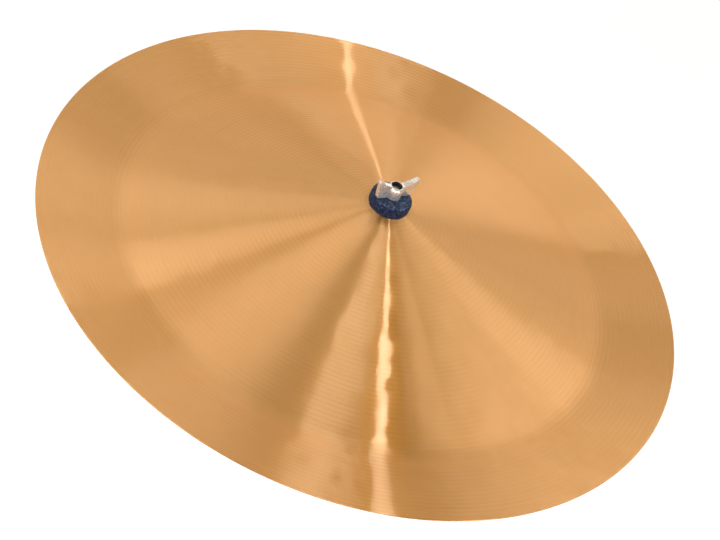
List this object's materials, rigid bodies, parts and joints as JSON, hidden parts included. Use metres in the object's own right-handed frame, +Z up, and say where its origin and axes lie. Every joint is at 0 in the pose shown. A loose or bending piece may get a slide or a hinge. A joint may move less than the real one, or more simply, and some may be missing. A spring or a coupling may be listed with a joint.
{
  "type": "china cymbal",
  "caption": "Bronze china cymbal with a conical body and upturned flange, held between felts on a threaded rod by a wing nut.",
  "frame": {"origin": "centre of the rod's flat lower end, where the rod leaves its holder", "axes": "+Z up along the rod, +X to the right and -Y towards the viewer of the picture"},
  "size_m": [0.508, 0.508, 0.0753],
  "materials": {
    "bronze": "lathed and hammered bronze, clear, with fine concentric grooves",
    "plating": "bright nickel plating on a die casting",
    "steel": "zinc plated, turned",
    "nylon": "moulded nylon, satin",
    "blue_felt": "pressed wool felt, fuzzy"
  },
  "bodies": {
    "rod": {"stud": "steel", "seat_washer": "steel", "sleeve": "nylon"},
    "lower_felt": {"lower_felt": "blue_felt"},
    "plate": {"cymbal": "bronze"},
    "upper_felt": {"upper_felt": "blue_felt"},
    "nut": {"wing_nut": "plating"}
  },
  "joints": [
    {"name": "cymbal_spin", "type": "hinge", "parent": "rod", "child": "lower_felt", "pos_m": [0, 0, 0.05045], "axis": [0, 0, 1], "continuous": true},
    {"name": "cymbal_rock", "type": "hinge", "parent": "lower_felt", "child": "plate", "pos_m": [0, 0, 0.05045], "axis": [1, 0, 0], "range_deg": [-12, 12], "deforming": ["lower_felt", "upper_felt"]},
    {"name": "nut_turn", "type": "hinge", "parent": "rod", "child": "upper_felt", "pos_m": [0, 0, 0.05881], "axis": [0, 0, 1], "range_deg": [0, 2160]},
    {"name": "nut_travel", "type": "slide", "parent": "upper_felt", "child": "nut", "axis": [0, 0, 1], "range_m": [0, 0.0075]}
  ],
  "couplings": [
    {"joint": "nut_turn", "follows": "nut_travel", "rad_per_m": 5026.5}
  ]
}
